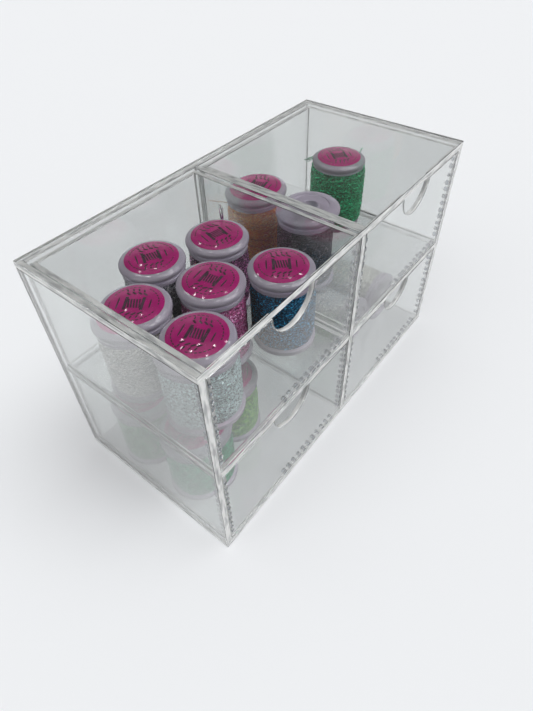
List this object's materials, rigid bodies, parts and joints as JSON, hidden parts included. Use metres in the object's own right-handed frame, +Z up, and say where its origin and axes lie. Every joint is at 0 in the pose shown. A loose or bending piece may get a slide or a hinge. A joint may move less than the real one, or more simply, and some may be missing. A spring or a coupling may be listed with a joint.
{
  "type": "thread drawer box",
  "caption": "Clear desktop cabinet with drawers two up and two across, finger notches in their fronts, and spools of metallic embroidery thread inside.",
  "frame": {"origin": "middle of the case's footprint, on the surface it stands on", "axes": "+X to the right along the front, +Y from the front to the back, +Z up; the drawers pull out towards -Y"},
  "size_m": [0.24, 0.119, 0.15],
  "materials": {
    "clear_acrylic": "clear, polished faces, sawn edges",
    "bobbin_plastic": "milky translucent moulding",
    "label_paper": "printed, satin",
    "ice_blue_thread": "metallic embroidery thread",
    "pearl_thread": "metallic embroidery thread",
    "silver_thread": "metallic embroidery thread",
    "magenta_thread": "metallic embroidery thread",
    "plum_thread": "metallic embroidery thread",
    "peacock_thread": "metallic embroidery thread",
    "copper_thread": "metallic embroidery thread",
    "charcoal_thread": "metallic embroidery thread",
    "emerald_thread": "metallic embroidery thread",
    "lime_thread": "metallic embroidery thread",
    "teal_thread": "metallic embroidery thread",
    "fern_thread": "metallic embroidery thread",
    "frost_thread": "metallic embroidery thread",
    "snow_thread": "metallic embroidery thread"
  },
  "bodies": {
    "case": {"case_bottom": "clear_acrylic", "case_top": "clear_acrylic", "case_left_side": "clear_acrylic", "case_right_side": "clear_acrylic", "case_back": "clear_acrylic", "case_divider": "clear_acrylic", "case_left_shelf": "clear_acrylic", "case_right_shelf": "clear_acrylic"},
    "upper_left_drawer": {"upper_left_drawer_front": "clear_acrylic", "upper_left_drawer_floor": "clear_acrylic", "upper_left_drawer_left_side": "clear_acrylic", "upper_left_drawer_right_side": "clear_acrylic", "upper_left_drawer_back": "clear_acrylic", "ice_blue_spool_bobbin": "bobbin_plastic", "ice_blue_spool_thread": "ice_blue_thread", "pearl_spool_bobbin": "bobbin_plastic", "pearl_spool_thread": "pearl_thread", "silver_spool_bobbin": "bobbin_plastic", "silver_spool_thread": "silver_thread", "magenta_spool_bobbin": "bobbin_plastic", "magenta_spool_thread": "magenta_thread", "plum_spool_bobbin": "bobbin_plastic", "plum_spool_thread": "plum_thread", "peacock_spool_bobbin": "bobbin_plastic", "peacock_spool_thread": "peacock_thread", "upper_left_spool_labels": "label_paper"},
    "upper_right_drawer": {"upper_right_drawer_front": "clear_acrylic", "upper_right_drawer_floor": "clear_acrylic", "upper_right_drawer_left_side": "clear_acrylic", "upper_right_drawer_right_side": "clear_acrylic", "upper_right_drawer_back": "clear_acrylic", "copper_spool_bobbin": "bobbin_plastic", "copper_spool_thread": "copper_thread", "charcoal_spool_bobbin": "bobbin_plastic", "charcoal_spool_thread": "charcoal_thread", "emerald_spool_bobbin": "bobbin_plastic", "emerald_spool_thread": "emerald_thread", "upper_right_spool_labels": "label_paper"},
    "lower_left_drawer": {"lower_left_drawer_front": "clear_acrylic", "lower_left_drawer_floor": "clear_acrylic", "lower_left_drawer_left_side": "clear_acrylic", "lower_left_drawer_right_side": "clear_acrylic", "lower_left_drawer_back": "clear_acrylic", "lime_spool_bobbin": "bobbin_plastic", "lime_spool_thread": "lime_thread", "teal_spool_bobbin": "bobbin_plastic", "teal_spool_thread": "teal_thread", "fern_spool_bobbin": "bobbin_plastic", "fern_spool_thread": "fern_thread", "lower_left_spool_labels": "label_paper"},
    "lower_right_drawer": {"lower_right_drawer_front": "clear_acrylic", "lower_right_drawer_floor": "clear_acrylic", "lower_right_drawer_left_side": "clear_acrylic", "lower_right_drawer_right_side": "clear_acrylic", "lower_right_drawer_back": "clear_acrylic", "frost_spool_bobbin": "bobbin_plastic", "frost_spool_thread": "frost_thread", "snow_spool_bobbin": "bobbin_plastic", "snow_spool_thread": "snow_thread"}
  },
  "joints": [
    {"name": "upper_left_drawer_slide", "type": "slide", "parent": "case", "child": "upper_left_drawer", "axis": [0, -1, 0], "range_m": [0, 0.1]},
    {"name": "upper_right_drawer_slide", "type": "slide", "parent": "case", "child": "upper_right_drawer", "axis": [0, -1, 0], "range_m": [0, 0.1]},
    {"name": "lower_left_drawer_slide", "type": "slide", "parent": "case", "child": "lower_left_drawer", "axis": [0, -1, 0], "range_m": [0, 0.1]},
    {"name": "lower_right_drawer_slide", "type": "slide", "parent": "case", "child": "lower_right_drawer", "axis": [0, -1, 0], "range_m": [0, 0.1]}
  ]
}
